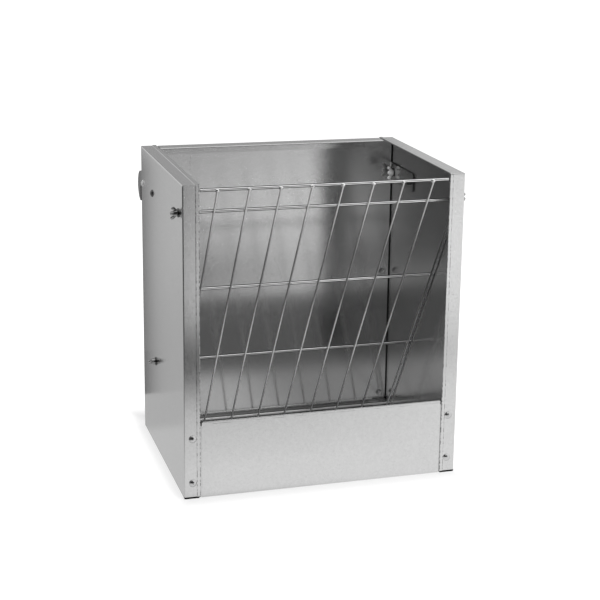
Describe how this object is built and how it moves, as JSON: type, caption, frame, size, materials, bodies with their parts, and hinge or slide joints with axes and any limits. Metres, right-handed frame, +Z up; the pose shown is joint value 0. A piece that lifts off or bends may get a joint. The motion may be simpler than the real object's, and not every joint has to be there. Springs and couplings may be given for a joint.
{
  "type": "hay feeder box",
  "caption": "Free-standing sheet-metal hay rack box with an open top, a leaning wire grille over a low front tray, and rear hooks to hang it by.",
  "frame": {"origin": "on the ground, under the middle of the whole outline, hooks and bolt heads included", "axes": "+X to the right seen from the front, +Y from the front wall to the back panel, +Z up"},
  "size_m": [0.4784, 0.3806, 0.5],
  "materials": {
    "zinc_sheet": "galvanised sheet, fine matt grain, soft blurred reflections",
    "zinc_wire": "bright zinc-plated wire, glossy",
    "zinc_plate": "galvanised flat bar, satin",
    "zinc_fastener": "zinc-plated, semi-gloss",
    "cast_zinc": "zinc-plated casting, semi-gloss"
  },
  "bodies": {
    "rack": {"left_side_panel": "zinc_sheet", "right_side_panel": "zinc_sheet", "back_panel": "zinc_sheet", "feed_tray": "zinc_sheet", "top_rail": "zinc_wire", "upper_tie_rail": "zinc_wire", "middle_rail": "zinc_wire", "lower_tie_rail": "zinc_wire", "bottom_rail": "zinc_wire", "bar_01": "zinc_wire", "bar_02": "zinc_wire", "bar_03": "zinc_wire", "bar_04": "zinc_wire", "bar_05": "zinc_wire", "bar_06": "zinc_wire", "bar_07": "zinc_wire", "bar_08": "zinc_wire", "bar_09": "zinc_wire", "bar_10": "zinc_wire", "left_hook_plate": "zinc_plate", "right_hook_plate": "zinc_plate", "rail_washers": "zinc_fastener", "hook_washers": "zinc_fastener", "front_flange_bolts": "zinc_fastener", "front_flange_nuts": "zinc_fastener", "back_panel_bolts": "zinc_fastener", "back_panel_nuts": "zinc_fastener", "hook_rear_bolts": "zinc_fastener", "hook_front_bolts": "zinc_fastener", "hook_front_nuts": "zinc_fastener"},
    "left_upper_wing_nut": {"left_upper_wing_nut": "cast_zinc"},
    "left_lower_wing_nut": {"left_lower_wing_nut": "cast_zinc"},
    "right_upper_wing_nut": {"right_upper_wing_nut": "cast_zinc"},
    "right_lower_wing_nut": {"right_lower_wing_nut": "cast_zinc"},
    "left_hook_wing_nut": {"left_hook_wing_nut": "cast_zinc"},
    "right_hook_wing_nut": {"right_hook_wing_nut": "cast_zinc"}
  },
  "joints": [
    {"name": "left_upper_nut_turn", "type": "hinge", "parent": "rack", "child": "left_upper_wing_nut", "pos_m": [-0.22975, -0.15879, 0.45162], "axis": [-1, 0, 0], "continuous": true},
    {"name": "left_lower_nut_turn", "type": "hinge", "parent": "rack", "child": "left_lower_wing_nut", "pos_m": [-0.22975, 0.0371, 0.15513], "axis": [-1, 0, 0], "continuous": true},
    {"name": "right_upper_nut_turn", "type": "hinge", "parent": "rack", "child": "right_upper_wing_nut", "pos_m": [0.22975, -0.15879, 0.45162], "axis": [1, 0, 0], "continuous": true},
    {"name": "right_lower_nut_turn", "type": "hinge", "parent": "rack", "child": "right_lower_wing_nut", "pos_m": [0.22975, 0.0371, 0.15513], "axis": [1, 0, 0], "continuous": true},
    {"name": "left_hook_nut_turn", "type": "hinge", "parent": "rack", "child": "left_hook_wing_nut", "pos_m": [-0.2167, 0.1348, 0.438], "axis": [1, 0, 0], "continuous": true},
    {"name": "right_hook_nut_turn", "type": "hinge", "parent": "rack", "child": "right_hook_wing_nut", "pos_m": [0.2167, 0.1348, 0.438], "axis": [-1, 0, 0], "continuous": true}
  ]
}
